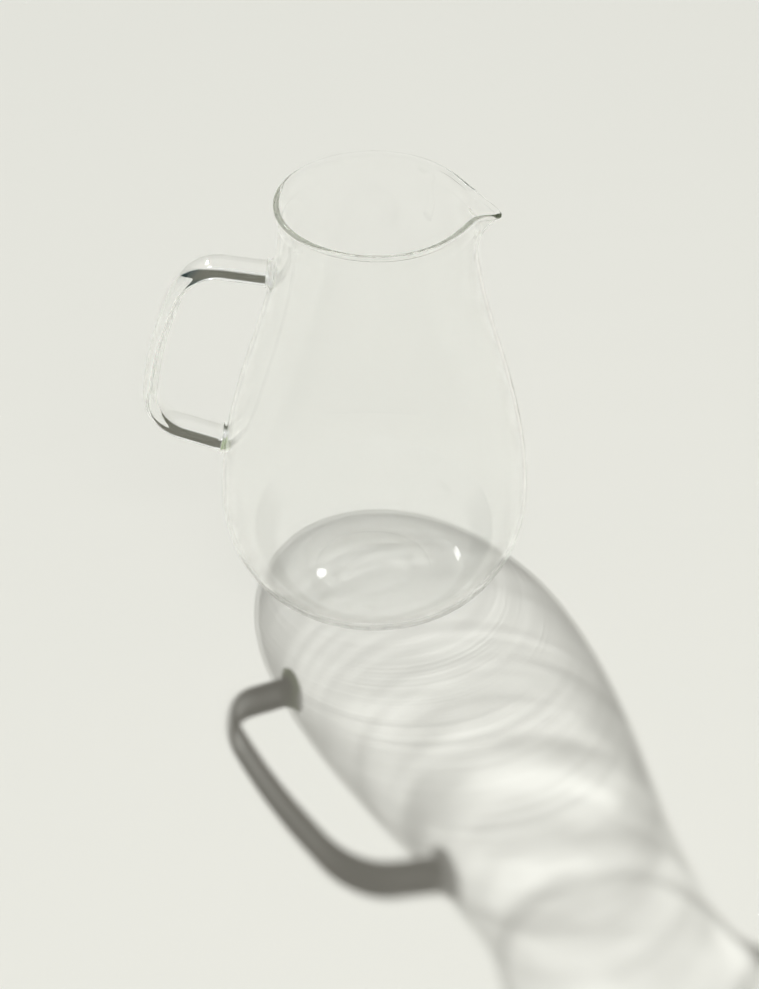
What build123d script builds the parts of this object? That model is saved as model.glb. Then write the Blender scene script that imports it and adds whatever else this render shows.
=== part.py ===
"""A hand-blown glass pouring jug: a blown body with a pulled lip, a bent solid strap handle, and the two
gathers of glass that weld the handle on. Millimetres, +Z up, lip towards +X, handle towards -X, origin at
the middle of the foot, on the plane that the jug stands on."""

from build123d import *
from itertools import accumulate
from math import acos, copysign, cos, exp, hypot, pi, radians, sin
import os

# Body, outer surface
JUG_HEIGHT = 212.0  # foot to the top of the rim
RIM_DIAMETER = 94.0  # over the rolled edge, away from the lip
RIM_BEAD = 2.9  # thickness of the fire-polished edge
RIM_FLARE = 0.15  # how far the rim leans out, per unit of height
NECK_DIAMETER = 90.4  # narrowest, just under the rim
NECK_DROP = 10.5  # from the top of the rim down to the narrowest place
SHOULDER_DIAMETER = 123.2
SHOULDER_HEIGHT = 123.0
BELLY_DIAMETER = 147.8  # widest
BELLY_HEIGHT = 52.6
HEEL_DIAMETER = 111.4
HEEL_HEIGHT = 7.5
FOOT_DIAMETER = 78.0  # outer edge of the flat ring that it stands on
PUNT_DIAMETER = 58.0  # inner edge of that ring
PUNT_RISE = 3.0  # how far the middle of the base is kicked up

# Glass thickness
WALL = 2.0
HEEL_WALL = 2.6
FLOOR = 3.2

# Pouring lip
LIP_REACH = 9.9  # how far the tip is pulled out past the round rim
LIP_DIP = 5.0  # how far the tip bends down below the rim
LIP_DIP_RUN = 12.9  # how far back from the tip the rim starts to bend down
LIP_DIP_BEND = 1.2  # how late it does so: 1 is a straight slope
LIP_GROWTH = 1.5  # how late the lip swells out of the neck on its way up
LIP_DEPTH = 15.0  # from the tip down to where the beak's keel runs into the neck
BEAK_ANGLE = 5.0  # degrees round the rim in which the beak falls away to a third
NOSE_ANGLE = 7.3  # degrees, the rounding of the tip
PINCH = 2.6  # how far the rim is pushed in on each side of the lip
PINCH_ANGLE = 33.0  # degrees round the rim from the tip to the middle of a pinch
PINCH_SPREAD = 34.0  # degrees

# Handle, a flattened solid rod
STRAP_WIDTH = 19.0
STRAP_THICKNESS = 7.5
UPPER_JOINT_DROP = 38.2  # from the top of the rim down to the middle of the upper weld seam
LOWER_JOINT_HEIGHT = 80.6  # middle of the lower weld seam
UPPER_CORNER_REACH = 41.2  # from the wall at the upper joint out to the upper corner
UPPER_CORNER_RISE = 6.0  # from the upper joint up to the upper corner
LOWER_CORNER_REACH = 39.9  # from the wall at the lower joint out to the lower corner
LOWER_CORNER_RISE = 12.9  # from the lower joint up to the lower corner
UPPER_BEND_RADIUS = 24.0
LOWER_BEND_RADIUS = 24.0

# Welds
UPPER_SEAM_STANDOFF = 2.8  # from the wall out to the seam
LOWER_SEAM_STANDOFF = 2.2
SEAM_RING = 1.2  # length of the raised ring at the seam
SEAM_PROUD = 0.9  # how far the ring stands out of the strap
SEAM_EASING = 0.35  # how far the ring's melted edges are eased
WELD_HEIGHT = 17.0  # of the gather where it meets the wall
WELD_WIDTH = 22.5
WELD_CURL = 1.5  # how late the skirt turns out on its way to the wall

# How finely the neck is drawn
SECTION_STEPS = 14  # points on each side of a section of the neck
CROWDING = 1.7  # how much closer together they lie near the lip
NECK_LEVELS = 6
PLAN_STEP = 0.5  # degrees to each side, to find which way a section faces
BEAD_RINGS = 13  # edges of the narrow strips that make the bead round
WELD_SECTIONS = 5  # of a gather's skirt
WELD_REACH = 2.0  # how far its sections go on, in lengths from the ring to the wall
HALVINGS = 30  # steps of a search for a height on a curve

BEAD_RADIUS = RIM_BEAD / 2
RIM_RADIUS = RIM_DIAMETER / 2 - BEAD_RADIUS  # to the middle of the glass at the rim
RIM_LEVEL = JUG_HEIGHT - BEAD_RADIUS
TIP_LEVEL = RIM_LEVEL - LIP_DIP
BEAK_START = TIP_LEVEL - LIP_DEPTH  # the body is round below this level
UPPER_JOINT_HEIGHT = JUG_HEIGHT - UPPER_JOINT_DROP
HEEL_FACING = pi / 4  # the heel faces out and down by this angle
HALF_TURN = 180.0  # degrees


class Side:
    """One side of the body's wall in the XZ plane, drawn from the foot ring up to the rim."""

    def __init__(self, floor, heel_wall, wall):
        """Depths into the glass: all 0 give the outer side."""
        self.floor = floor
        self.foot = (FOOT_DIAMETER / 2, 0, floor)
        heel_radius = HEEL_DIAMETER / 2 - heel_wall * sin(HEEL_FACING)
        heel = (heel_radius, 0, HEEL_HEIGHT + heel_wall * cos(HEEL_FACING))
        belly = (BELLY_DIAMETER / 2 - wall, 0, BELLY_HEIGHT)
        shoulder = (SHOULDER_DIAMETER / 2 - wall, 0, SHOULDER_HEIGHT)
        neck = (NECK_DIAMETER / 2 - wall, 0, JUG_HEIGHT - NECK_DROP)
        rim = (RIM_RADIUS + WALL / 2 - wall, 0, JUG_HEIGHT)
        out, up, leaning = (1, 0, 0), (0, 0, 1), (RIM_FLARE, 0, 1)
        self.curves = [
            Spline(self.foot, heel, belly, tangents=(out, up)),
            Spline(belly, shoulder, neck, tangents=(up, up)),
            Spline(neck, rim, tangents=(up, leaning)),
        ]

    def at(self, level):
        """Curve, and place along it from 0 to 1, that a height falls on."""
        curve = next(c for c in self.curves if level <= (c @ 1).Z or c is self.curves[-1])
        low, high = 0.0, 1.0
        for _ in range(HALVINGS):
            middle = (low + high) / 2
            low, high = (middle, high) if (curve @ middle).Z < level else (low, middle)
        return curve, low

    def radius(self, level):
        """Radius of the round body on this side at a height."""
        curve, place = self.at(level)
        return (curve @ place).X

    def below(self, level):
        """Solid of revolution inside this side, from the base up to a height."""
        centre = PUNT_RISE + self.floor
        middle = (PUNT_DIAMETER / 2, 0, self.floor)
        dome_radius = ((PUNT_DIAMETER / 2) ** 2 + PUNT_RISE**2) / (2 * PUNT_RISE)
        dome_point = (PUNT_DIAMETER / 4, 0, centre - dome_radius + dome_height(dome_radius))
        curve, place = self.at(level)
        whole = self.curves[: self.curves.index(curve)]
        top = curve.trim(0, place)
        edges = [
            ThreePointArc((0, 0, centre), dome_point, middle),
            Line(middle, self.foot),
            *whole,
            top,
            Line(top @ 1, (0, 0, level)),
            Line((0, 0, level), (0, 0, centre)),
        ]
        return revolve(make_face(edges), Axis.Z)


def dome_height(dome_radius):
    """Height of the punt's dome over its own centre, halfway out to its edge."""
    return (dome_radius**2 - (PUNT_DIAMETER / 4) ** 2) ** 0.5


def beak(angle):
    """How far the lip pulls the rim out of round at an angle in degrees from the tip."""
    nose = hypot(angle, NOSE_ANGLE) - NOSE_ANGLE
    pinch = exp(-(((abs(angle) - PINCH_ANGLE) / PINCH_SPREAD) ** 2))
    return LIP_REACH * exp(-nose / BEAK_ANGLE) - PINCH * pinch


def lip_level(x):
    """Height of the middle of the rim's glass at a distance towards the lip."""
    run = max(0.0, (x - (RIM_RADIUS + LIP_REACH - LIP_DIP_RUN)) / LIP_DIP_RUN)
    return RIM_LEVEL - LIP_DIP * run**LIP_DIP_BEND


def ring_angles():
    """Degrees from the tip of the lip, once round from the back, closer together near the lip."""
    steps = range(-SECTION_STEPS, SECTION_STEPS)
    return [copysign(HALF_TURN * (abs(step) / SECTION_STEPS) ** CROWDING, step) for step in steps]


def plan_point(angle, radius, pull):
    """Point of a neck section seen from above, with the lip pulled out by a share of its reach."""
    reach = radius + pull * beak(angle)
    return Vector(reach * cos(radians(angle)), reach * sin(radians(angle)))


def ring_marks():
    """Where the points of a section lie along it, the same in all of them so that the skins stay light."""
    rim = [plan_point(angle, RIM_RADIUS, 1) for angle in ring_angles()]
    steps = [(end - start).length for start, end in zip(rim, rim[1:] + rim[:1])]
    return list(accumulate(steps, initial=0.0))


def ring(share, radius, across, rise):
    """Closed curve round the neck at a share of the way from the lip's root, 0, to the rim, 1. It lies
    across the middle of the glass by a distance outwards, and at the rim over its middle by a rise."""
    pull = share**LIP_GROWTH
    points = []
    for angle in ring_angles():
        ahead = plan_point(angle + PLAN_STEP, radius, pull)
        behind = plan_point(angle - PLAN_STEP, radius, pull)
        outwards = (ahead - behind).normalized().rotate(Axis.Z, -90)
        place = plan_point(angle, radius, pull) + outwards * across
        rim = lip_level(plan_point(angle, RIM_RADIUS, 1).X) + rise
        points.append((place.X, place.Y, BEAK_START + (rim - BEAK_START) * share))
    return Wire(Edge.make_spline(points, periodic=True, parameters=ring_marks()))


def neck_side(line, across, rise):
    """One side of the neck, a smooth skin from the round body up to the edge of the bead."""
    root = Plane((0, 0, BEAK_START), x_dir=(-1, 0, 0))
    rings = [Wire(Edge.make_circle(line.radius(BEAK_START), root))]
    for index in range(1, NECK_LEVELS):
        share = index / (NECK_LEVELS - 1)
        level = BEAK_START + (RIM_LEVEL - BEAK_START) * share
        middle = line.radius(level) - across if index < NECK_LEVELS - 1 else RIM_RADIUS
        rings.append(ring(share, middle, across, rise))
    return Shell.make_loft(rings)


def rim_bead(contact):
    """The fire-polished edge, a round skin of narrow strips from the wall's outer to its inner side."""
    rings = []
    for index in range(BEAD_RINGS):
        turn = -contact + (pi + 2 * contact) * index / (BEAD_RINGS - 1)
        rings.append(ring(1, RIM_RADIUS, BEAD_RADIUS * cos(turn), BEAD_RADIUS * sin(turn)))
    return Shell.make_loft(rings, ruled=True)


def jug_body(outer, inner):
    """The blown body: the round wall from the punt to the lip's root, the neck, and the rolled rim."""
    contact = acos(WALL / RIM_BEAD)  # half angle between the wall's sides, seen from the bead's middle
    rise = -BEAD_RADIUS * sin(contact)
    blown = outer.below(BEAK_START) - inner.below(BEAK_START)
    root = blown.faces().sort_by(Axis.Z)[-1]
    skins = [neck_side(outer, WALL / 2, rise), neck_side(inner, -WALL / 2, rise), rim_bead(contact)]
    faces = [face for face in blown.faces() if face != root]
    for skin in skins:
        faces += skin.faces()
    return Solid(Shell(faces))


def handle_path(outer):
    """Middle line of the strap, from the upper seam round the two corners to the lower seam."""
    upper_wall = outer.radius(UPPER_JOINT_HEIGHT)
    lower_wall = outer.radius(LOWER_JOINT_HEIGHT)
    corners = [
        (-upper_wall - UPPER_SEAM_STANDOFF, 0, UPPER_JOINT_HEIGHT),
        (-upper_wall - UPPER_CORNER_REACH, 0, UPPER_JOINT_HEIGHT + UPPER_CORNER_RISE),
        (-lower_wall - LOWER_CORNER_REACH, 0, LOWER_JOINT_HEIGHT + LOWER_CORNER_RISE),
        (-lower_wall - LOWER_SEAM_STANDOFF, 0, LOWER_JOINT_HEIGHT),
    ]
    return FilletPolyline(corners, radius=[UPPER_BEND_RADIUS, LOWER_BEND_RADIUS])


def strap_section(place, along, thicker=0.0, wider=0.0):
    """Oval section square to a direction, with its width along Y."""
    plane = Plane(origin=place, x_dir=(0, 1, 0), z_dir=along)
    return plane * Ellipse(STRAP_WIDTH / 2 + wider, STRAP_THICKNESS / 2 + thicker)


def handle(path):
    """The bent strap, one solid rod of oval section."""
    return sweep(strap_section(path @ 0, path % 0), path)


def wall_frame(outer, level):
    """Point of the wall behind the handle at a height, and the direction square into the glass."""
    curve, place = outer.at(level)
    climb = curve % place
    return Vector(-(curve @ place).X, 0, level), Vector(climb.Z, 0, climb.X)


def seam_ring(seam, inwards):
    """The raised ring of melted glass at a seam, with eased edges."""
    blank = extrude(strap_section(seam, inwards, SEAM_PROUD, SEAM_PROUD), SEAM_RING)
    return chamfer(blank.edges(), SEAM_EASING)


def handle_boss(outer, seam, inwards, envelope):
    """A gather of glass: its raised ring at the seam, then the skirt that spreads out on the wall."""
    start = seam + inwards * SEAM_RING / 2
    landing, square = wall_frame(outer, start.Z)
    thicker = (WELD_HEIGHT - STRAP_THICKNESS) / 2
    wider = (WELD_WIDTH - STRAP_WIDTH) / 2
    sections = []
    for step in range(WELD_SECTIONS):
        share = WELD_REACH * step / (WELD_SECTIONS - 1)
        near = min(share, 1.0)
        spread = near**WELD_CURL + WELD_CURL * (share - near)
        along = (inwards * (1 - near) + square * near).normalized()
        place = start * (1 - near) + landing * near + square * (landing - start).length * (share - near)
        sections.append(strap_section(place, along, thicker * spread, wider * spread))
    return (seam_ring(seam, inwards) - envelope) + (loft(sections) - envelope)


outer_side = Side(0, 0, 0)
inner_side = Side(FLOOR, HEEL_WALL, WALL)
strap_path = handle_path(outer_side)
filled_body = outer_side.below(RIM_LEVEL)

parts = {
    "jug_body": jug_body(outer_side, inner_side),
    "handle": handle(strap_path),
    "upper_handle_boss": handle_boss(outer_side, strap_path @ 0, -(strap_path % 0), filled_body),
    "lower_handle_boss": handle_boss(outer_side, strap_path @ 1, strap_path % 1, filled_body),
}

os.makedirs("parts", exist_ok=True)
for name, shape in parts.items():
    export_step(shape, f"parts/{name}.step")
    print(name, round(shape.volume), "mm3")

brimful = inner_side.below(RIM_LEVEL).volume
print("holds to the brim", round(brimful / 1000), "ml")
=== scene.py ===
"""The looks of a hand-blown glass pouring jug on a pale table, lit by one hard lamp from behind.

Metres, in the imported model's frame: +Z up, the pouring lip towards +X, the handle towards -X, and the origin
at the middle of the foot. Each glass piece stands for one of the CAD solids, with a more finely divided mesh.
"""

import logging
import math
from dataclasses import dataclass, field
from enum import Enum
from typing import Sequence

import bpy
import numpy as np
from mathutils import Matrix, Vector


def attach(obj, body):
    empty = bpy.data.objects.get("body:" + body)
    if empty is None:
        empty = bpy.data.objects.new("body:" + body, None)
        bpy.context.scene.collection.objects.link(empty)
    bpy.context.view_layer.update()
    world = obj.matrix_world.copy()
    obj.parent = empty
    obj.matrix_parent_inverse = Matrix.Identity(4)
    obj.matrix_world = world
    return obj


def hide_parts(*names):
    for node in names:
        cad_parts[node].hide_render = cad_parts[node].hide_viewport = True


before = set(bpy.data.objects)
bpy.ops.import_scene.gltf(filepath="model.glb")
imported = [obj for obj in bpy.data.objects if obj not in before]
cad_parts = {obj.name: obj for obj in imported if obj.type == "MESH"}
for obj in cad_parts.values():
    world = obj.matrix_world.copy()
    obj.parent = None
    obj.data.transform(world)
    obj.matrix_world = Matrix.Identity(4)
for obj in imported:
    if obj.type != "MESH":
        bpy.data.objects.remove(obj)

LOG = logging.getLogger("glass_jug")
MM = 0.001
ROOT_BODY = "root"
FULL_TURN = 2 * math.pi
SHARP_EDGE = math.radians(50)
MERGE = 0.004 * MM
FINE_MERGE = 0.002 * MM
# What an input of a shader node is given
Feed = bpy.types.NodeSocket | Sequence[float] | float


class Coat(Enum):
    """Named finishes of the glass, one for each piece of the jug."""

    BODY = "blown_glass"
    HANDLE = "rod_glass"
    GATHER = "melted_glass"


def put_down_everything() -> None:
    """Leaves edit mode and deselects all objects, so that the next operator acts on its own piece alone."""
    if bpy.context.object and bpy.context.object.mode != "OBJECT":
        bpy.ops.object.mode_set(mode="OBJECT")
    bpy.ops.object.select_all(action="DESELECT")


def pick_up(piece: bpy.types.Object) -> None:
    """Makes a piece the one selected and active object.

    Args:
        piece: The object to work on.
    """
    put_down_everything()
    piece.select_set(True)
    bpy.context.view_layer.objects.active = piece


def close_up(piece: bpy.types.Object, merge: float) -> None:
    """Merges the vertices that lie together, turns all faces to one side and shades the piece smooth.

    Its sharp edges stay sharp, so that a flat end doesn't bend the light beside it. Blender looks for the outer
    side by itself. It finds it on each piece but the lower gather, whose faces it turns inwards.

    Args:
        piece: A mesh that closes on itself.
        merge: Vertices nearer than this become one.
    """
    pick_up(piece)
    bpy.ops.object.mode_set(mode="EDIT")
    bpy.ops.mesh.select_all(action="SELECT")
    bpy.ops.mesh.remove_doubles(threshold=merge)
    bpy.ops.mesh.normals_make_consistent(inside=False)
    bpy.ops.object.mode_set(mode="OBJECT")
    bpy.ops.object.shade_smooth_by_angle(angle=SHARP_EDGE)
    put_down_everything()


def read_points(piece: bpy.types.Object) -> np.ndarray:
    """Reads a mesh's vertices.

    Args:
        piece: The mesh object.

    Returns:
        One row of x, y and z for each vertex.
    """
    flat = np.empty(len(piece.data.vertices) * 3)
    piece.data.vertices.foreach_get("co", flat)
    return flat.reshape(-1, 3)


def write_points(piece: bpy.types.Object, points: np.ndarray) -> None:
    """Moves a mesh's vertices.

    Args:
        piece: The mesh object.
        points: One row of x, y and z for each vertex.
    """
    piece.data.vertices.foreach_set("co", points.ravel())
    piece.data.update()


@dataclass
class Knot:
    """A point of a drawn curve in the XZ plane, with its two handles."""

    place: Vector
    before: Vector
    after: Vector


def flowing(points: Sequence[tuple[float, float]], leaving: tuple[float, float],
            arriving: tuple[float, float]) -> list[Knot]:
    """Draws a curve of even curvature through a few points, as a bent batten lies.

    Args:
        points: Radius and height of each point.
        leaving: Direction at the first point.
        arriving: Direction at the last point.

    Returns:
        The curve's knots, in order.
    """
    places = np.array(points)
    spans = np.linalg.norm(np.diff(places, axis=0), axis=1)
    count = len(places)
    system = np.eye(count)
    wanted = np.zeros((count, 2))
    wanted[0] = np.array(leaving) / np.linalg.norm(leaving)
    wanted[-1] = np.array(arriving) / np.linalg.norm(arriving)
    for index in range(1, count - 1):
        near, far = spans[index - 1], spans[index]
        system[index, index - 1 : index + 2] = far, 2 * (near + far), near
        came = (places[index] - places[index - 1]) * far / near
        goes = (places[index + 1] - places[index]) * near / far
        wanted[index] = 3 * (came + goes)
    slopes = np.linalg.solve(system, wanted)
    knots = []
    for index in range(count):
        back = slopes[index] * spans[max(index - 1, 0)] / 3
        ahead = slopes[index] * spans[min(index, count - 2)] / 3
        place = places[index]
        knots.append(Knot(upright(place), upright(place - back), upright(place + ahead)))
    return knots


def arc(centre: tuple[float, float], radius: float, start: float, turn: float, parts: int) -> list[Knot]:
    """Draws a round arc.

    Args:
        centre: Radius and height of the arc's centre.
        radius: The arc's own radius.
        start: Angle of its first point above the outward direction, in radians.
        turn: Angle that it covers.
        parts: Number of spans that it is drawn with.

    Returns:
        The arc's knots, in order.
    """
    reach = radius * 4 / 3 * math.tan(turn / parts / 4)
    knots = []
    for index in range(parts + 1):
        angle = start + turn * index / parts
        outwards = np.array([math.cos(angle), math.sin(angle)])
        along = np.array([-outwards[1], outwards[0]]) * reach
        place = np.array(centre) + outwards * radius
        knots.append(Knot(upright(place), upright(place - along), upright(place + along)))
    return knots


def upright(pair: Sequence[float]) -> Vector:
    """Point of the XZ plane from a radius and a height."""
    return Vector((pair[0], 0.0, pair[1]))


def joined(*runs: list[Knot]) -> list[Knot]:
    """Joins curves end to end.

    Args:
        runs: Curves, each starting where the one before ends.

    Returns:
        One list of knots, with a single knot at each join.
    """
    knots = [Knot(k.place, k.before, k.after) for k in runs[0]]
    for run in runs[1:]:
        knots[-1].after = run[0].after
        knots.extend(Knot(k.place, k.before, k.after) for k in run[1:])
    return knots


def backwards(run: list[Knot]) -> list[Knot]:
    """The same curve drawn from its other end."""
    return [Knot(k.place, k.after, k.before) for k in reversed(run)]


def draw(name: str, knots: list[Knot], fineness: int) -> bpy.types.Object:
    """Draws a curve as a chain of edges.

    Args:
        name: Name of the new object.
        knots: The curve's knots.
        fineness: Edges between two knots.

    Returns:
        A mesh object that holds the chain.
    """
    put_down_everything()
    bpy.ops.curve.primitive_bezier_curve_add()
    line = bpy.context.object
    line.name = name
    spline = line.data.splines[0]
    spline.bezier_points.add(len(knots) - len(spline.bezier_points))
    spline.resolution_u = fineness
    line.data.resolution_u = fineness
    for point, knot in zip(spline.bezier_points, knots):
        point.handle_left_type = "FREE"
        point.handle_right_type = "FREE"
        point.co = knot.place
        point.handle_left = knot.before
        point.handle_right = knot.after
    bpy.ops.object.convert(target="MESH")
    return bpy.context.object


@dataclass
class WallSide:
    """One side of the blown wall, from the foot ring up to the neck, as the glass-blower shapes it."""

    floor: float
    heel_depth: float
    wall_depth: float

    foot_radius: float = 39.0 * MM
    heel: tuple[float, float] = (55.7 * MM, 7.5 * MM)
    belly: tuple[float, float] = (73.9 * MM, 52.6 * MM)
    shoulder: tuple[float, float] = (61.6 * MM, 123.0 * MM)
    neck: tuple[float, float] = (45.2 * MM, 201.5 * MM)
    rim: tuple[float, float] = (46.55 * MM, 212.0 * MM)
    rim_flare: float = 0.15
    curve_steps: int = 60

    def stations(self) -> dict[str, tuple[float, float]]:
        """Radius and height of each named place on this side."""
        slant = self.heel_depth * math.sqrt(0.5)
        return {
            "foot": (self.foot_radius, self.floor),
            "heel": (self.heel[0] - slant, self.heel[1] + slant),
            "belly": (self.belly[0] - self.wall_depth, self.belly[1]),
            "shoulder": (self.shoulder[0] - self.wall_depth, self.shoulder[1]),
            "neck": (self.neck[0] - self.wall_depth, self.neck[1]),
            "rim": (self.rim[0] - self.wall_depth, self.rim[1]),
        }

    def knots(self) -> list[Knot]:
        """The side from the foot up to the neck."""
        place = self.stations()
        bowl = flowing([place["foot"], place["heel"], place["belly"]], (1, 0), (0, 1))
        waist = flowing([place["belly"], place["shoulder"], place["neck"]], (0, 1), (0, 1))
        return joined(bowl, waist)

    def plain_rim(self) -> list[Knot]:
        """The side from the neck up to the rim, as it was before the edge was melted round."""
        place = self.stations()
        return flowing([place["neck"], place["rim"]], (0, 1), (self.rim_flare, 1))

    def radius(self, heights: np.ndarray) -> np.ndarray:
        """Radius of the round wall.

        Args:
            heights: Heights over the table.

        Returns:
            The radius at each height.
        """
        knots = joined(self.knots(), self.plain_rim())
        steps = np.linspace(0.0, 1.0, self.curve_steps)[:, None]
        runs = []
        for low, high in zip(knots, knots[1:]):
            corners = [np.array((k.x, k.z)) for k in (low.place, low.after, high.before, high.place)]
            weights = [(1 - steps) ** 3, 3 * (1 - steps) ** 2 * steps, 3 * (1 - steps) * steps**2, steps**3]
            runs.append(sum(weight * corner for weight, corner in zip(weights, corners)))
        line = np.concatenate(runs)
        return np.interp(heights, line[:, 1], line[:, 0])


@dataclass
class BlownBody:
    """The blown vessel: pear-shaped double wall, kicked-up base, fire-polished rim and pulled lip."""

    wall: float = 2.0 * MM
    heel_wall: float = 2.6 * MM
    floor: float = 3.2 * MM
    punt_radius: float = 29.0 * MM
    punt_rise: float = 3.0 * MM
    bead_radius: float = 1.45 * MM
    bead_swell: float = 1.5 * MM
    lip_reach: float = 9.9 * MM
    lip_dip: float = 5.0 * MM
    lip_dip_run: float = 12.9 * MM
    lip_dip_bend: float = 1.2
    lip_growth: float = 1.5
    lip_depth: float = 15.0 * MM
    beak_angle: float = 5.0
    nose_angle: float = 7.3
    pinch: float = 2.6 * MM
    pinch_angle: float = 33.0
    pinch_spread: float = 34.0
    lip_sector: float = 26.0
    plan_step: float = 0.25
    lip_steps: int = 56
    round_steps: int = 180
    fineness: int = 14
    outer: WallSide = field(init=False)
    inner: WallSide = field(init=False)

    def __post_init__(self) -> None:
        """Works out the two sides of the wall."""
        self.outer = WallSide(0.0, 0.0, 0.0)
        self.inner = WallSide(self.floor, self.heel_wall, self.wall)
        self.rim_radius = self.outer.rim[0] - self.wall / 2
        self.rim_level = self.outer.rim[1] - self.bead_radius
        self.beak_start = self.rim_level - self.lip_dip - self.lip_depth

    def swelling(self, side: WallSide, widest: float) -> list[Knot]:
        """The wall from the neck up into the melted edge.

        Args:
            side: The side of the wall.
            widest: Radius of the melted edge on that side.

        Returns:
            The knots from the neck to the level of the edge's middle.
        """
        level = self.rim_level - self.bead_swell
        radius = float(side.radius(np.array([level]))[0])
        neck = side.stations()["neck"]
        return joined(
            flowing([neck, (radius, level)], (0, 1), (side.rim_flare / 2, 1)),
            flowing([(radius, level), (widest, self.rim_level)], (side.rim_flare / 2, 1), (0, 1)),
        )

    def profile(self) -> list[Knot]:
        """The whole section of the glass, from the middle of the base out, over the rim and back inside."""
        outer_side = joined(self.outer.knots(), self.swelling(self.outer, self.rim_radius + self.bead_radius))
        inner_side = joined(self.inner.knots(), self.swelling(self.inner, self.rim_radius - self.bead_radius))
        edge = arc((self.rim_radius, self.rim_level), self.bead_radius, 0.0, math.pi, 3)
        under = self.kick(0.0)
        over = self.kick(self.floor)
        return joined(under, outer_side, edge, backwards(inner_side), backwards(over))

    def kick(self, height: float) -> list[Knot]:
        """The kicked-up middle of the base and the flat ring round it.

        Args:
            height: Height of the ring.

        Returns:
            The knots from the middle out to the foot.
        """
        ball = (self.punt_radius**2 + self.punt_rise**2) / (2 * self.punt_rise)
        lean = math.asin(self.punt_radius / ball)
        centre = (0.0, height + self.punt_rise - ball)
        dome = arc(centre, ball, math.pi / 2, -lean, 3)
        ring = flowing([(self.punt_radius, height), (self.outer.foot_radius, height)], (1, 0), (1, 0))
        return joined(dome, ring)

    def beak(self, angles: np.ndarray) -> np.ndarray:
        """How far the rim is pulled out at angles in degrees from the tip of the lip."""
        nose = np.hypot(angles, self.nose_angle) - self.nose_angle
        dent = np.exp(-(((np.abs(angles) - self.pinch_angle) / self.pinch_spread) ** 2))
        return self.lip_reach * np.exp(-nose / self.beak_angle) - self.pinch * dent

    def plan(self, angles: np.ndarray, middles: np.ndarray, pulls: np.ndarray) -> np.ndarray:
        """Places of the middle of the glass, seen from above.

        Args:
            angles: Degrees round from the tip of the lip.
            middles: Radius that the wall has without the lip.
            pulls: Share of the lip's reach, from 0 to 1.

        Returns:
            One row of x and y for each angle.
        """
        reach = middles + pulls * self.beak(angles)
        turned = np.radians(angles)
        return np.stack([reach * np.cos(turned), reach * np.sin(turned)], axis=1)

    def pull_lip(self, piece: bpy.types.Object) -> None:
        """Pulls the pouring lip out of the soft rim, with a dent on each side, as the jacks leave it.

        Args:
            piece: The round body.
        """
        points = read_points(piece)
        soft = points[:, 2] > self.beak_start
        x, y, z = points[soft].T
        angles = np.degrees(np.arctan2(y, x))
        middles = np.where(z < self.rim_level, self.outer.radius(z) - self.wall / 2, self.rim_radius)
        across = np.hypot(x, y) - middles
        shares = np.clip((z - self.beak_start) / (self.rim_level - self.beak_start), 0.0, 1.0)
        pulls = shares**self.lip_growth
        after, before = angles + self.plan_step, angles - self.plan_step
        ahead = self.plan(after, middles, pulls) - self.plan(before, middles, pulls)
        outwards = np.stack([ahead[:, 1], -ahead[:, 0]], axis=1)
        outwards /= np.linalg.norm(outwards, axis=1, keepdims=True)
        flat = self.plan(angles, middles, pulls) + outwards * across[:, None]
        reach = self.plan(angles, np.full_like(z, self.rim_radius), np.ones_like(z))[:, 0]
        starts = self.rim_radius + self.lip_reach - self.lip_dip_run
        run = np.clip((reach - starts) / self.lip_dip_run, 0.0, None)
        drop = self.lip_dip * run**self.lip_dip_bend
        points[soft] = np.column_stack([flat, z - drop * shares])
        write_points(piece, points)

    def build(self) -> bpy.types.Object:
        """Blows the body: spins its section round the axis and pulls the lip.

        Returns:
            The finished mesh, inside which the drink is held.
        """
        body = draw("blown_body", self.profile(), self.fineness)
        bpy.ops.object.mode_set(mode="EDIT")
        bpy.ops.mesh.select_all(action="SELECT")
        sector = math.radians(self.lip_sector)
        around = FULL_TURN - 2 * sector
        for angle, steps in ((sector, self.lip_steps), (around, self.round_steps), (sector, self.lip_steps)):
            bpy.ops.mesh.spin(steps=steps, angle=angle, center=(0, 0, 0), axis=(0, 0, 1))
        close_up(body, MERGE)
        self.pull_lip(body)
        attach(body, ROOT_BODY)
        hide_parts("jug_body")
        return body


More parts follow.
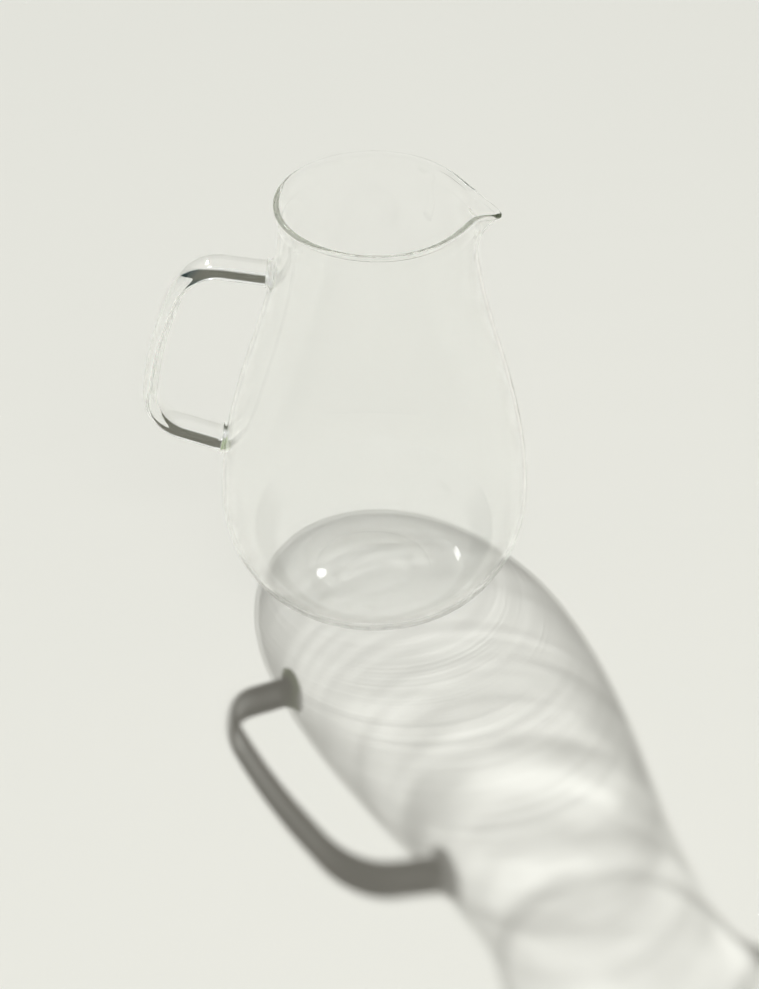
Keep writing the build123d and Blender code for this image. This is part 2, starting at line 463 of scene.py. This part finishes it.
@dataclass
class StrapHandle:
    """The bent strap: one solid rod of oval section, drawn out hot and bent, with a slight bow in its grip.

    Its ends stop a hair short of the gathers, so that they mirror the arm as the real seams do.
    """

    body: BlownBody
    width: float = 19.0 * MM
    thickness: float = 7.5 * MM
    upper_joint: float = 173.8 * MM
    lower_joint: float = 80.6 * MM
    upper_corner_reach: float = 38.1 * MM
    upper_corner_height: float = 178.8 * MM
    lower_corner_reach: float = 36.9 * MM
    lower_corner_height: float = 92.8 * MM
    grip_bow: float = 4.9 * MM
    upper_bend: float = 20.5 * MM
    grip_bend: float = 180.0 * MM
    lower_bend: float = 21.5 * MM
    upper_standoff: float = 2.8 * MM
    lower_standoff: float = 2.2 * MM
    end_gap: float = 0.03 * MM
    around: int = 208
    bend_steps: int = 72

    def corners(self) -> list[Vector]:
        """Upper seam and corner, middle of the grip, lower corner and seam, before they are rounded."""
        upper, lower = self.body.outer.radius(np.array([self.upper_joint, self.lower_joint]))
        above = Vector((-upper - self.upper_corner_reach, 0, self.upper_corner_height))
        below = Vector((-lower - self.lower_corner_reach, 0, self.lower_corner_height))
        grip = (below - above).normalized()
        return [
            Vector((-upper - self.upper_standoff, 0, self.upper_joint)),
            above,
            (above + below) / 2 + Vector((grip.z, 0, -grip.x)) * self.grip_bow,
            below,
            Vector((-lower - self.lower_standoff, 0, self.lower_joint)),
        ]

    def build(self) -> bpy.types.Object:
        """Draws the rod: an oval, extruded along the arms and spun round the bends.

        Returns:
            The finished mesh.
        """
        places = self.corners()
        ways = [(b - a).normalized() for a, b in zip(places, places[1:])]
        put_down_everything()
        bpy.ops.mesh.primitive_circle_add(vertices=self.around, radius=0.5)
        rod = bpy.context.object
        rod.name = "strap_handle"
        start = places[0] + ways[0] * self.end_gap
        rod.matrix_world = square_to(start, ways[0]) @ Matrix.Diagonal((self.width, self.thickness, 1, 1))
        bpy.ops.object.transform_apply(location=True, rotation=True, scale=True)
        bpy.ops.object.mode_set(mode="EDIT")
        bpy.ops.mesh.select_all(action="SELECT")
        here = start
        bends = (self.upper_bend, self.grip_bend, self.lower_bend)
        for corner, way, onward, radius in zip(places[1:4], ways, ways[1:], bends):
            turn = way.angle(onward)
            inset = radius * math.tan(turn / 2)
            stop = corner - way * inset
            bpy.ops.mesh.extrude_region_move(TRANSFORM_OT_translate={"value": stop - here})
            axis = way.cross(onward).normalized()
            centre = stop + axis.cross(way) * radius
            bpy.ops.mesh.spin(steps=self.bend_steps, angle=turn, center=centre, axis=-axis)
            here = corner + onward * inset
        end = places[4] - ways[3] * self.end_gap
        bpy.ops.mesh.extrude_region_move(TRANSFORM_OT_translate={"value": end - here})
        bpy.ops.mesh.edge_face_add()
        bpy.ops.mesh.select_all(action="DESELECT")
        bpy.ops.mesh.select_non_manifold()
        bpy.ops.mesh.edge_face_add()
        close_up(rod, MERGE)
        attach(rod, ROOT_BODY)
        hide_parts("handle")
        return rod


def square_to(place: Vector, way: Vector) -> Matrix:
    """A frame whose Z runs along a direction of the XZ plane and whose X runs across it, along Y.

    Args:
        place: Origin of the frame.
        way: Direction of its Z.

    Returns:
        The frame's matrix.
    """
    across = Vector((0, 1, 0))
    up = way.cross(across)
    turned = Matrix((across, up, way)).transposed().to_4x4()
    return Matrix.Translation(place) @ turned


@dataclass
class HandleGather:
    """A gather of melted glass that welds one end of the strap on: a raised ring, then a flared skirt.

    Its foot stops a hair short of the wall, for the same mirroring as at the strap's ends.
    """

    body: BlownBody
    strap: StrapHandle
    name: str
    node: str
    seam: Vector
    inwards: Vector
    standoff: float
    ring_length: float = 1.2 * MM
    ring_proud: float = 0.9 * MM
    skirt_height: float = 17.0 * MM
    skirt_width: float = 22.5 * MM
    skirt_curl: float = 2.2
    settle_curl: float = 1.5
    wall_gap: float = 0.03 * MM
    wall_search: float = 12.0 * MM
    halvings: int = 40
    around: int = 112
    ring_steps: int = 12
    skirt_steps: int = 24
    cap_steps: int = 8

    def sections(self) -> list[tuple[float, float, float]]:
        """Distance from the seam, half thickness and half width of each section down to the wall."""
        half_thick, half_wide = self.strap.thickness / 2, self.strap.width / 2
        cuts = []
        for step in range(self.ring_steps + 1):
            share = step / self.ring_steps
            swell = self.ring_proud * math.sin(math.pi * share) ** 0.5
            cuts.append((self.ring_length * share, half_thick + swell, half_wide + swell))
        skirt_length = self.standoff - self.ring_length
        for step in range(1, self.skirt_steps + 1):
            share = step / self.skirt_steps
            spread = share**self.skirt_curl
            thick = half_thick + (self.skirt_height / 2 - half_thick) * spread
            wide = half_wide + (self.skirt_width / 2 - half_wide) * spread
            cuts.append((self.ring_length + skirt_length * share, thick, wide))
        return cuts

    def wall_distance(self, starts: np.ndarray) -> np.ndarray:
        """How far it is from points of the seam's plane to the wall, along the arm.

        Args:
            starts: One row of x, y and z for each point.

        Returns:
            The distance from each point to just short of the wall's surface.
        """
        way = np.array(self.inwards)
        low, high = np.zeros(len(starts)), np.full(len(starts), self.wall_search)
        for _ in range(self.halvings):
            middle = (low + high) / 2
            spots = starts + middle[:, None] * way
            stop = self.body.outer.radius(spots[:, 2]) + self.wall_gap
            outside = np.hypot(spots[:, 0], spots[:, 1]) > stop
            low, high = np.where(outside, middle, low), np.where(outside, high, middle)
        return low

    def settle(self, gather: bpy.types.Object) -> None:
        """Lets the skirt settle on the round wall, so that its foot follows the wall.

        Args:
            gather: The gather as drawn for a flat wall.
        """
        points = read_points(gather)
        way, seam = np.array(self.inwards), np.array(self.seam)
        depth = (points - seam) @ way
        starts = points - depth[:, None] * way
        give = np.clip((depth - self.ring_length) / (self.standoff - self.ring_length), 0.0, 1.0)
        extra = (self.wall_distance(starts) - self.standoff) * give**self.settle_curl
        write_points(gather, points + extra[:, None] * way)

    def build(self) -> bpy.types.Object:
        """Shapes the gather: an oval, extruded and scaled from the seam down to the wall.

        Returns:
            The finished mesh.
        """
        put_down_everything()
        bpy.ops.mesh.primitive_circle_add(vertices=self.around, radius=1.0, fill_type="NGON")
        gather = bpy.context.object
        gather.name = self.name
        cuts = self.sections()
        cuts += [(cuts[-1][0], cuts[-1][1] * share, cuts[-1][2] * share)
                 for share in np.linspace(1, 0, self.cap_steps + 2)[1:-1]]
        bpy.ops.object.mode_set(mode="EDIT")
        bpy.ops.mesh.select_all(action="SELECT")
        depth, thick, wide = cuts[0]
        bpy.ops.transform.resize(value=(wide, thick, 1), center_override=(0, 0, 0))
        for next_depth, next_thick, next_wide in cuts[1:]:
            bpy.ops.mesh.extrude_region_move(TRANSFORM_OT_translate={"value": (0, 0, next_depth - depth)})
            bpy.ops.transform.resize(
                value=(next_wide / wide, next_thick / thick, 1), center_override=(0, 0, next_depth)
            )
            depth, thick, wide = next_depth, next_thick, next_wide
        bpy.ops.mesh.select_all(action="DESELECT")
        bpy.ops.mesh.select_non_manifold()
        bpy.ops.mesh.edge_face_add()
        put_down_everything()
        pick_up(gather)
        gather.matrix_world = square_to(self.seam, self.inwards)
        bpy.ops.object.transform_apply(location=True, rotation=True, scale=True)
        self.settle(gather)
        close_up(gather, FINE_MERGE)
        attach(gather, ROOT_BODY)
        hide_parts(self.node)
        return gather


@dataclass(frozen=True)
class Wiring:
    """A tree of shader nodes, with the steps by which all trees of this scene are wired."""

    tree: bpy.types.NodeTree

    def feed(self, node: bpy.types.Node, feeds: dict[str | int, Feed]) -> None:
        """Sets some of a node's inputs.

        Args:
            node: The node.
            feeds: A number, a colour or another node's socket for each input, by its name or its place.
        """
        for name, feed in feeds.items():
            socket = node.inputs[name]
            if isinstance(feed, bpy.types.NodeSocket):
                self.tree.links.new(feed, socket)
            elif socket.type == "RGBA":
                socket.default_value = (*feed, 1)
            else:
                socket.default_value = feed

    def add(self, kind: str, feeds: dict[str | int, Feed] | None = None) -> bpy.types.Node:
        """Adds a node and sets some of its inputs.

        Args:
            kind: The node's type.
            feeds: What each input gets.

        Returns:
            The node.
        """
        node = self.tree.nodes.new(kind)
        self.feed(node, feeds or {})
        return node

    def reckon(self, kind: str, operation: str, *feeds: Feed) -> bpy.types.NodeOutputs:
        """Adds a node that does one sum with numbers or with vectors.

        Args:
            kind: The node's type.
            operation: The sum that it does.
            feeds: Its inputs, in order.

        Returns:
            The node's outputs.
        """
        node = self.add(kind)
        node.operation = operation
        self.feed(node, dict(enumerate(feeds)))
        return node.outputs

    def maths(self, operation: str, *feeds: Feed) -> bpy.types.NodeSocket:
        """The result of one sum with numbers."""
        return self.reckon("ShaderNodeMath", operation, *feeds)[0]

    def soft_step(self, value: Feed, ends: tuple[float, float],
                  levels: tuple[float, float] = (0.0, 1.0)) -> bpy.types.NodeSocket:
        """A soft step from one level to another.

        Args:
            value: What the step follows.
            ends: Values at which the step starts and stops.
            levels: The step's result at each end.

        Returns:
            The result's socket.
        """
        (low, at_low), (high, at_high) = sorted(zip(ends, levels))
        step = self.add("ShaderNodeMapRange")
        step.interpolation_type = "SMOOTHSTEP"
        self.feed(step, {"Value": value, "From Min": low, "From Max": high})
        self.feed(step, {"To Min": at_low, "To Max": at_high})
        return step.outputs["Result"]

    def blend(self, share: Feed, first: Feed, second: Feed) -> bpy.types.NodeSocket:
        """Mixes two colours.

        Args:
            share: The second colour's share.
            first: The colour at a share of 0.
            second: The colour at a share of 1.

        Returns:
            The mixed colour's socket.
        """
        mix = self.add("ShaderNodeMix")
        mix.data_type = "RGBA"
        self.feed(mix, {0: share, 6: first, 7: second})
        return mix.outputs[2]

    def noise(self, place: Feed, scale: Feed, detail: float) -> bpy.types.NodeSocket:
        """A noise from 0 to 1 over a place."""
        noise = self.add("ShaderNodeTexNoise", {"Vector": place, "Scale": scale, "Detail": detail})
        return noise.outputs["Fac"]


def hand_waves() -> bpy.types.NodeTree:
    """The faint swells that shaping by hand leaves in the glass.

    Returns:
        The shared node group, made on its first use. It turns a place and a fineness into a height.
    """
    made = bpy.data.node_groups.get("hand_waves")
    if made:
        return made
    group = bpy.data.node_groups.new("hand_waves", "ShaderNodeTree")
    group.interface.new_socket("Place", in_out="INPUT", socket_type="NodeSocketVector")
    group.interface.new_socket("Size", in_out="INPUT", socket_type="NodeSocketFloat")
    group.interface.new_socket("Height", in_out="OUTPUT", socket_type="NodeSocketFloat")
    wiring = Wiring(group)
    given = wiring.add("NodeGroupInput").outputs
    wiring.add("NodeGroupOutput", {"Height": wiring.noise(given["Place"], given["Size"], 1.0)})
    return group


@dataclass(frozen=True)
class Ripple:
    """A noise, stretched over the glass, that adds to the light that passes and takes from it."""

    stretch: tuple[float, float, float]
    detail: float
    depth: float
    gain: float = 0.0

    def lay(self, wiring: Wiring, place: bpy.types.NodeSocket) -> bpy.types.NodeSocket:
        """Lays the noise over the glass.

        Args:
            wiring: The material's tree.
            place: The place on the piece.

        Returns:
            What is added to the share of light that passes.
        """
        stretched = wiring.reckon("ShaderNodeVectorMath", "MULTIPLY", place, self.stretch)["Vector"]
        noise = wiring.noise(stretched, 1.0, self.detail)
        return wiring.maths("MULTIPLY_ADD", noise, self.depth, self.gain - self.depth / 2)


@dataclass(frozen=True)
class WheelMarks:
    """The light and dark that turned glass throws on a table.

    Fine rings lie all over, broad swells grow towards the neck, the mouth lets more light in, and the melted
    bead and the pulled tip of the lip let less of it through.
    """

    rings: Ripple = Ripple(stretch=(4, 4, 900), detail=2.0, depth=0.5)
    swells: Ripple = Ripple(stretch=(16, 16, 55), detail=3.0, depth=0.85, gain=0.02)
    swell_heights: tuple[float, float] = (60 * MM, 190 * MM)
    swell_levels: tuple[float, float] = (0.10, 1.0)
    mouth_heights: tuple[float, float] = (145 * MM, 185 * MM)
    mouth_gain: float = 0.075
    bead_heights: tuple[float, float] = (206.5 * MM, 209 * MM)
    bead_loss: float = 0.25
    tip_reaches: tuple[float, float] = (48 * MM, 53 * MM)
    tip_height: float = 195 * MM
    tip_loss: float = 0.5

    def share(self, wiring: Wiring, place: bpy.types.NodeSocket) -> bpy.types.NodeSocket:
        """Works out the share of the light that passes, about 1 on average.

        Args:
            wiring: The material's tree.
            place: The place on the piece.

        Returns:
            The share's socket.
        """
        axes = wiring.add("ShaderNodeSeparateXYZ", {0: place}).outputs
        height = axes["Z"]
        growing = wiring.soft_step(height, self.swell_heights, self.swell_levels)
        rings, swells = self.rings.lay(wiring, place), self.swells.lay(wiring, place)
        marks = wiring.maths("MULTIPLY_ADD", swells, growing, rings)
        mouth = wiring.soft_step(height, self.mouth_heights, (0.0, self.mouth_gain))
        bead = wiring.soft_step(height, self.bead_heights, (0.0, -self.bead_loss))
        tip = wiring.soft_step(axes["X"], self.tip_reaches, (0.0, -self.tip_loss))
        by_the_lip = wiring.maths("GREATER_THAN", height, self.tip_height)
        melted = wiring.maths("MULTIPLY_ADD", tip, by_the_lip, bead)
        change = wiring.maths("ADD", wiring.maths("ADD", marks, mouth), melted)
        return wiring.maths("ADD", change, 1.0)


@dataclass(frozen=True)
class Shade:
    """The share of a lamp's light that passes a face: in the middle of the piece, and along its edges."""

    middle: float
    edge: float
    fades: tuple[float, float] = (0.25, 0.85)
    marks: WheelMarks | None = None

    def share(self, wiring: Wiring, place: bpy.types.NodeSocket) -> bpy.types.NodeSocket:
        """Works out the share.

        Args:
            wiring: The material's tree.
            place: The place on the piece.

        Returns:
            The share's socket.
        """
        slant = wiring.add("ShaderNodeLayerWeight", {"Blend": 0.5}).outputs["Facing"]
        plain = wiring.soft_step(slant, self.fades, (self.middle, self.edge))
        if self.marks is None:
            return plain
        return wiring.maths("MULTIPLY", plain, self.marks.share(wiring, place))


@dataclass(frozen=True)
class GlassFinish:
    """Clear glass as the maker's hands leave it: faintly wavy, and a little green where it is thick."""

    coat: Coat
    wave_size: float
    wave_depth: float
    shade: Shade
    tint: tuple[float, float, float] = (0.995, 0.997, 0.993)
    absorbed: tuple[float, float, float] = (0.87, 0.90, 0.82)
    density: float = 2.5
    index: float = 1.47

    def material(self) -> bpy.types.Material:
        """Mixes the glass.

        Returns:
            The material. Light on its way to the table passes it unbent, at the finish's own shade.
        """
        glass = bpy.data.materials.new(self.coat.value)
        glass.use_nodes = True
        wiring = Wiring(glass.node_tree)
        place = wiring.add("ShaderNodeTexCoord").outputs["Object"]
        waves = wiring.add("ShaderNodeGroup")
        waves.node_tree = hand_waves()
        wiring.feed(waves, {"Place": place, "Size": self.wave_size})
        bump = wiring.add("ShaderNodeBump", {"Distance": self.wave_depth, "Height": waves.outputs["Height"]})
        shader = glass.node_tree.nodes["Principled BSDF"]
        wiring.feed(shader, {"Base Color": self.tint, "Roughness": 0.0, "IOR": self.index})
        wiring.feed(shader, {"Transmission Weight": 1.0, "Normal": bump.outputs["Normal"]})
        clear = wiring.add("ShaderNodeBsdfTransparent", {"Color": self.shade.share(wiring, place)})
        path = wiring.add("ShaderNodeLightPath").outputs
        lighting = wiring.maths("MAXIMUM", path["Is Shadow Ray"], path["Is Diffuse Ray"])
        mix = wiring.add("ShaderNodeMixShader", {0: lighting, 1: shader.outputs[0], 2: clear.outputs[0]})
        thick = wiring.add("ShaderNodeVolumeAbsorption", {"Color": self.absorbed, "Density": self.density})
        output = glass.node_tree.nodes["Material Output"]
        wiring.feed(output, {"Surface": mix.outputs[0], "Volume": thick.outputs[0]})
        return glass


FINISHES = {
    Coat.BODY: GlassFinish(
        Coat.BODY,
        wave_size=40.0,
        wave_depth=0.012 * MM,
        shade=Shade(middle=0.96, edge=0.82, marks=WheelMarks()),
    ),
    Coat.HANDLE: GlassFinish(
        Coat.HANDLE,
        wave_size=60.0,
        wave_depth=0.001 * MM,
        shade=Shade(middle=0.0, edge=0.90, fades=(0.10, 0.85)),
    ),
    Coat.GATHER: GlassFinish(
        Coat.GATHER,
        wave_size=90.0,
        wave_depth=0.05 * MM,
        shade=Shade(middle=0.40, edge=0.55),
    ),
}


def dress(piece: bpy.types.Object, coat: Coat) -> None:
    """Gives a piece its finish.

    Args:
        piece: The piece.
        coat: The finish's name.
    """
    glass = bpy.data.materials.get(coat.value) or FINISHES[coat].material()
    piece.data.materials.clear()
    piece.data.materials.append(glass)


@dataclass
class Studio:
    """The pale table, the hard lamp behind the jug on the left, and the room's soft light.

    Each pair of fades gives the ends of a soft step over a direction's X, Y or Z, or over how nearly it
    points at the window. Lengths are in metres.
    """

    table_half: float = 12.0
    table_colour: tuple[float, float, float] = (0.80, 0.81, 0.775)
    table_roughness: float = 0.9
    table_shine: float = 0.1
    grain_scale: float = 3.0
    grain_detail: float = 2.0
    grain_shade: float = 0.985
    room_colour: tuple[float, float, float] = (0.80, 0.81, 0.775)
    dim_colour: tuple[float, float, float] = (0.12, 0.12, 0.09)
    corner_colour: tuple[float, float, float] = (0.015, 0.035, 0.035)
    back_fades: tuple[float, float] = (-0.10, 0.25)
    wall_fades: tuple[float, float] = (0.55, 0.38)
    corner_fades: tuple[float, float] = (-0.30, -0.75)
    window_fades: tuple[float, float] = (0.9983, 0.9993)
    window_tone: float = 20.0
    fill: float = 0.11
    fill_colour: tuple[float, float, float] = (0.82, 0.78, 0.69)
    lamp_place: tuple[float, float, float] = (-0.785, 1.882, 1.740)
    lamp_power: float = 18.7
    lamp_radius: float = 0.028
    lamp_colour: tuple[float, float, float] = (1.0, 0.995, 0.970)
    soft_place: tuple[float, float, float] = (0.35, -1.35, 1.30)
    soft_size: float = 1.0
    soft_power: float = 5.0
    soft_colour: tuple[float, float, float] = (1.0, 0.95, 0.86)

    def table(self) -> None:
        """Lays the table under the jug."""
        put_down_everything()
        bpy.ops.mesh.primitive_plane_add(size=2 * self.table_half)
        table = bpy.context.object
        table.name = "table"
        paper = bpy.data.materials.new("pale_table")
        paper.use_nodes = True
        wiring = Wiring(paper.node_tree)
        place = wiring.add("ShaderNodeTexCoord").outputs["Object"]
        grain = wiring.noise(place, self.grain_scale, self.grain_detail)
        darker = [channel * self.grain_shade for channel in self.table_colour]
        shader = paper.node_tree.nodes["Principled BSDF"]
        wiring.feed(shader, {"Base Color": wiring.blend(grain, darker, self.table_colour)})
        wiring.feed(shader, {"Roughness": self.table_roughness, "Specular IOR Level": self.table_shine})
        table.data.materials.append(paper)

    def lamp(self) -> None:
        """Hangs the hard lamp, whose light gains with distance what it loses by falling at a slant."""
        light = bpy.data.lights.new("high_lamp", "POINT")
        light.energy = self.lamp_power
        light.shadow_soft_size = self.lamp_radius
        light.color = self.lamp_colour
        light.use_nodes = True
        wiring = Wiring(light.node_tree)
        length = wiring.add("ShaderNodeLightPath").outputs["Ray Length"]
        even = wiring.add("ShaderNodeLightFalloff", {"Strength": length}).outputs["Constant"]
        wiring.feed(light.node_tree.nodes["Emission"], {"Strength": even})
        self.hang(light, self.lamp_place)

    def soft_light(self) -> None:
        """Hangs the soft light in front, which lifts the shadows and isn't mirrored in the glass."""
        light = bpy.data.lights.new("soft_light", "AREA")
        light.energy = self.soft_power
        light.color = self.soft_colour
        light.size = self.soft_size
        lamp = self.hang(light, self.soft_place)
        lamp.rotation_euler = (-Vector(self.soft_place)).to_track_quat("-Z", "Y").to_euler()
        lamp.visible_glossy = False
        lamp.visible_transmission = False

    @staticmethod
    def hang(light: bpy.types.Light, place: tuple[float, float, float]) -> bpy.types.Object:
        """Puts a light into the scene.

        Args:
            light: The light.
            place: Where it hangs.

        Returns:
            The lamp object.
        """
        lamp = bpy.data.objects.new(light.name, light)
        lamp.location = place
        bpy.context.scene.collection.objects.link(lamp)
        return lamp

    def room(self) -> None:
        """Fills the room with soft light: pale to look at, and with a dim back wall in the glass."""
        world = bpy.data.worlds.new("room")
        bpy.context.scene.world = world
        world.use_nodes = True
        wiring = Wiring(world.node_tree)
        shown = world.node_tree.nodes["Background"]
        wiring.feed(shown, {"Color": self.room_colour})
        soft = wiring.add("ShaderNodeBackground", {"Color": self.fill_colour, "Strength": self.fill})
        mirrored = wiring.add("ShaderNodeBackground", {"Color": self.mirrored_room(wiring)})
        path = wiring.add("ShaderNodeLightPath").outputs
        in_glass = wiring.maths("MAXIMUM", path["Is Glossy Ray"], path["Is Transmission Ray"])
        bent = wiring.add("ShaderNodeMixShader", {0: in_glass, 1: soft.outputs[0], 2: mirrored.outputs[0]})
        seen = {0: path["Is Camera Ray"], 1: bent.outputs[0], 2: shown.outputs[0]}
        straight = wiring.add("ShaderNodeMixShader", seen)
        wiring.feed(world.node_tree.nodes["World Output"], {"Surface": straight.outputs[0]})

    def mirrored_room(self, wiring: Wiring) -> bpy.types.NodeSocket:
        """The room as the glass shows it by direction: pale, with a dim back wall and a bright window.

        Args:
            wiring: The world's tree.

        Returns:
            The colour's socket.
        """
        way = wiring.add("ShaderNodeTexCoord").outputs["Generated"]
        axes = wiring.add("ShaderNodeSeparateXYZ", {0: way}).outputs
        back = wiring.soft_step(axes["Y"], self.back_fades)
        low = wiring.soft_step(axes["Z"], self.wall_fades)
        corner = wiring.soft_step(axes["X"], self.corner_fades)
        dim = wiring.blend(corner, self.dim_colour, self.corner_colour)
        shown = wiring.blend(wiring.maths("MULTIPLY", back, low), self.room_colour, dim)
        to_window = Vector(self.lamp_place).normalized()
        nearness = wiring.reckon("ShaderNodeVectorMath", "DOT_PRODUCT", way, to_window)["Value"]
        window = wiring.soft_step(nearness, self.window_fades)
        return wiring.blend(window, shown, (self.window_tone,) * 3)


@dataclass
class Camera:
    """The camera at the photograph's place, found from the jug's outline and its shadow."""

    place: tuple[float, float, float] = (2.6 * MM, -1008.3 * MM, 819.4 * MM)
    pitch: float = 37.45
    roll: float = 0.80
    focal_pixels: float = 2612.0
    long_side_pixels: float = 989.0
    sensor: float = 36.0
    nearest: float = 0.01

    def build(self) -> None:
        """Sets the camera up and makes it the scene's."""
        data = bpy.data.cameras.new("photo_camera")
        data.sensor_width = self.sensor
        data.lens = self.focal_pixels / self.long_side_pixels * self.sensor
        data.clip_start = self.nearest
        camera = bpy.data.objects.new("photo_camera", data)
        pitch, roll = math.radians(self.pitch), math.radians(self.roll)
        forward = Vector((0, math.cos(pitch), -math.sin(pitch)))
        level_up = Vector((0, math.sin(pitch), math.cos(pitch)))
        level_right = Vector((1, 0, 0))
        right = math.cos(roll) * level_right + math.sin(roll) * level_up
        up = math.cos(roll) * level_up - math.sin(roll) * level_right
        turned = Matrix((right, up, -forward)).transposed().to_4x4()
        camera.matrix_world = Matrix.Translation(self.place) @ turned
        bpy.context.scene.collection.objects.link(camera)
        bpy.context.scene.camera = camera


@dataclass(frozen=True)
class LightPaths:
    """How often light may turn in the glass. A ray turns many times inside the solid strap and the bead."""

    turns: int = 240
    clear_layers: int = 24

    def apply(self) -> None:
        """Sets the limits, and leaves out focused light, which would only add noise."""
        cycles = bpy.context.scene.cycles
        cycles.max_bounces = self.turns
        cycles.glossy_bounces = self.turns
        cycles.transmission_bounces = self.turns
        cycles.transparent_max_bounces = self.clear_layers
        cycles.caustics_reflective = False
        cycles.caustics_refractive = False


def main() -> None:
    """Builds the jug piece by piece, then its table, light and camera."""
    logging.basicConfig(level=logging.INFO, format="%(message)s")
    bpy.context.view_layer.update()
    Camera().build()
    body = BlownBody()
    dress(body.build(), Coat.BODY)
    LOG.info("body blown")
    strap = StrapHandle(body)
    dress(strap.build(), Coat.HANDLE)
    LOG.info("handle bent")
    corners = strap.corners()
    ends = [
        ("upper_gather", "upper_handle_boss", corners[0], corners[1], strap.upper_standoff),
        ("lower_gather", "lower_handle_boss", corners[4], corners[3], strap.lower_standoff),
    ]
    for name, node, seam, corner, standoff in ends:
        gather = HandleGather(body, strap, name, node, seam, (seam - corner).normalized(), standoff)
        dress(gather.build(), Coat.GATHER)
        LOG.info("%s welded on", name)
    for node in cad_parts.values():
        dress(node, Coat.BODY)
    studio = Studio()
    studio.table()
    studio.lamp()
    studio.soft_light()
    studio.room()
    LOG.info("table laid and lamps hung")
    LightPaths().apply()
    bpy.context.scene.view_settings.view_transform = "Standard"


if __name__ == "__main__":
    main()
